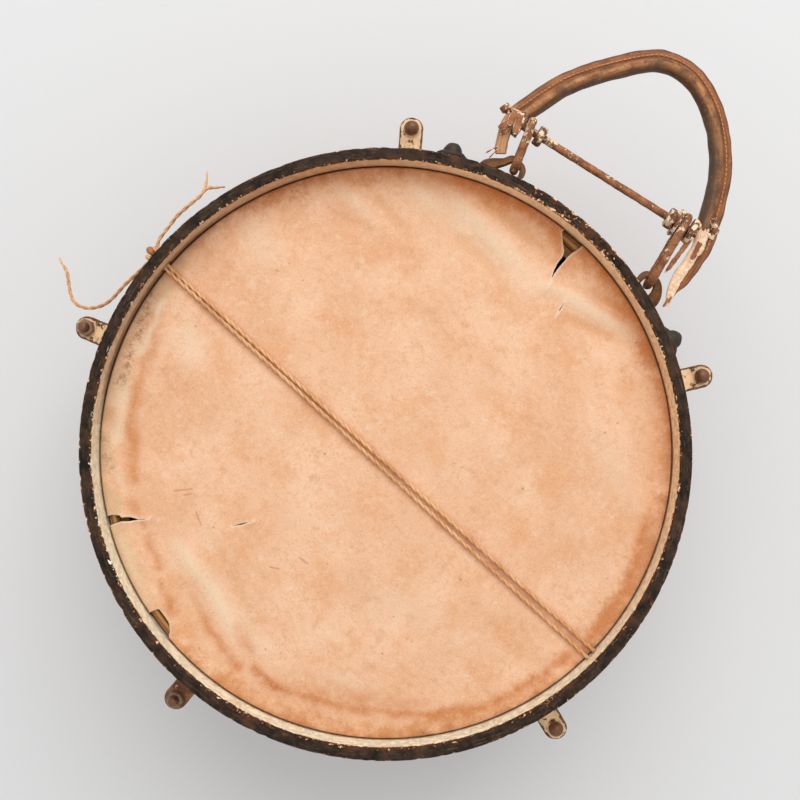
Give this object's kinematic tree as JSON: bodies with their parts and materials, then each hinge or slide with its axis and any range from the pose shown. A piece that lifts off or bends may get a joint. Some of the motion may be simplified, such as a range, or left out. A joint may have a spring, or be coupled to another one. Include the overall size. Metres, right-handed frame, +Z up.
{
  "type": "side drum",
  "caption": "Old rod-tension side drum: wooden shell, black counter hoops, torn calfskin heads, doubled gut snare on a screw hook, rolled leather carrying handle on iron links.",
  "frame": {"origin": "on the ground, under the middle of the box round the drum and its handle", "axes": "+Z up along the drum axis from the batter head to the snare head, +Y from the drum axis towards the handle"},
  "size_m": [0.4512, 0.5273, 0.2071],
  "materials": {
    "shell_wood": "aged varnish over bent wood",
    "raw_wood": "bare aged wood",
    "snare_calfskin": "thin calfskin, stained along the rim",
    "batter_calfskin": "thin calfskin, worn in the middle",
    "hoop_paint": "black paint over wood, chipped, with a cream inner wall",
    "cream_iron": "cream paint, chipped at the edges",
    "dull_iron": "dull iron with brown rust",
    "rusty_iron": "rusted iron with paint flakes",
    "black_iron": "blackened iron",
    "brass": "dull brass",
    "gut": "twisted gut, waxed",
    "grip_leather": "rolled and stitched leather, worn",
    "dark_leather": "dark leather strap, worn"
  },
  "bodies": {
    "drum": {"batter_counter_hoop": "hoop_paint", "batter_ear_1": "cream_iron", "batter_ear_2": "cream_iron", "batter_ear_3": "cream_iron", "batter_ear_4": "cream_iron", "batter_ear_5": "cream_iron", "batter_flesh_hoop": "raw_wood", "batter_head": "batter_calfskin", "batter_head_lap": "batter_calfskin", "batter_side_glue_ring": "raw_wood", "bracket_screw_lower": "dull_iron", "bracket_screw_upper": "dull_iron", "domed_bolt_left": "black_iron", "domed_bolt_right": "black_iron", "leather_loop_left": "dark_leather", "leather_loop_right": "dark_leather", "shell": "shell_wood", "snare_anchor_button": "dull_iron", "snare_counter_hoop": "hoop_paint", "snare_ear_1": "cream_iron", "snare_ear_2": "cream_iron", "snare_ear_3": "cream_iron", "snare_ear_4": "cream_iron", "snare_ear_5": "cream_iron", "snare_flesh_hoop": "raw_wood", "snare_gut": "gut", "snare_gut_tail_a": "gut", "snare_gut_tail_b": "gut", "snare_head": "snare_calfskin", "snare_head_lap": "snare_calfskin", "snare_side_glue_ring": "raw_wood", "strainer_bracket": "dull_iron", "tension_rod_1": "dull_iron", "tension_rod_2": "dull_iron", "tension_rod_3": "dull_iron", "tension_rod_4": "dull_iron", "tension_rod_5": "dull_iron", "vent_grommet": "brass"},
    "handle": {"handle_grip": "grip_leather", "handle_link_left": "rusty_iron", "handle_link_right": "rusty_iron", "handle_rod": "rusty_iron", "handle_rod_nut_left": "rusty_iron", "handle_rod_nut_right": "rusty_iron"},
    "snare_hook": {"snare_hook": "dull_iron"},
    "thumb_nut": {"snare_thumb_nut": "dull_iron"},
    "nut_1": {"tension_nut_1": "dull_iron"},
    "nut_2": {"tension_nut_2": "dull_iron"},
    "nut_3": {"tension_nut_3": "dull_iron"},
    "nut_4": {"tension_nut_4": "dull_iron"},
    "nut_5": {"tension_nut_5": "dull_iron"}
  },
  "joints": [
    {"name": "handle_swing", "type": "hinge", "parent": "drum", "child": "handle", "pos_m": [0, 0.14335, 0.1821], "axis": [1, 0, 0], "range_deg": [-85, 90]},
    {"name": "tension_nut_1_turn", "type": "hinge", "parent": "drum", "child": "nut_1", "pos_m": [0.12167, 0.11832, 0.0322], "axis": [0, 0, 1], "continuous": true},
    {"name": "tension_nut_2_turn", "type": "hinge", "parent": "drum", "child": "nut_2", "pos_m": [-0.12167, 0.11832, 0.0322], "axis": [0, 0, 1], "continuous": true},
    {"name": "tension_nut_3_turn", "type": "hinge", "parent": "drum", "child": "nut_3", "pos_m": [-0.19687, -0.11312, 0.1749], "axis": [0, 0, 1], "continuous": true},
    {"name": "tension_nut_4_turn", "type": "hinge", "parent": "drum", "child": "nut_4", "pos_m": [0, -0.25615, 0.1749], "axis": [0, 0, 1], "continuous": true},
    {"name": "tension_nut_5_turn", "type": "hinge", "parent": "drum", "child": "nut_5", "pos_m": [0.19687, -0.11312, 0.0322], "axis": [0, 0, 1], "continuous": true},
    {"name": "thumb_nut_turn", "type": "hinge", "parent": "drum", "child": "thumb_nut", "pos_m": [-0.191, -0.04915, 0.1228], "axis": [0, 0, 1], "range_deg": [-720, 720]},
    {"name": "snare_hook_draw", "type": "slide", "parent": "drum", "child": "snare_hook", "axis": [0, 0, -1], "range_m": [-0.0021, 0.0021], "deforming": ["snare_gut"]}
  ],
  "couplings": [
    {"joint": "snare_hook_draw", "follows": "thumb_nut_turn", "m_per_rad": 0.00015915}
  ]
}
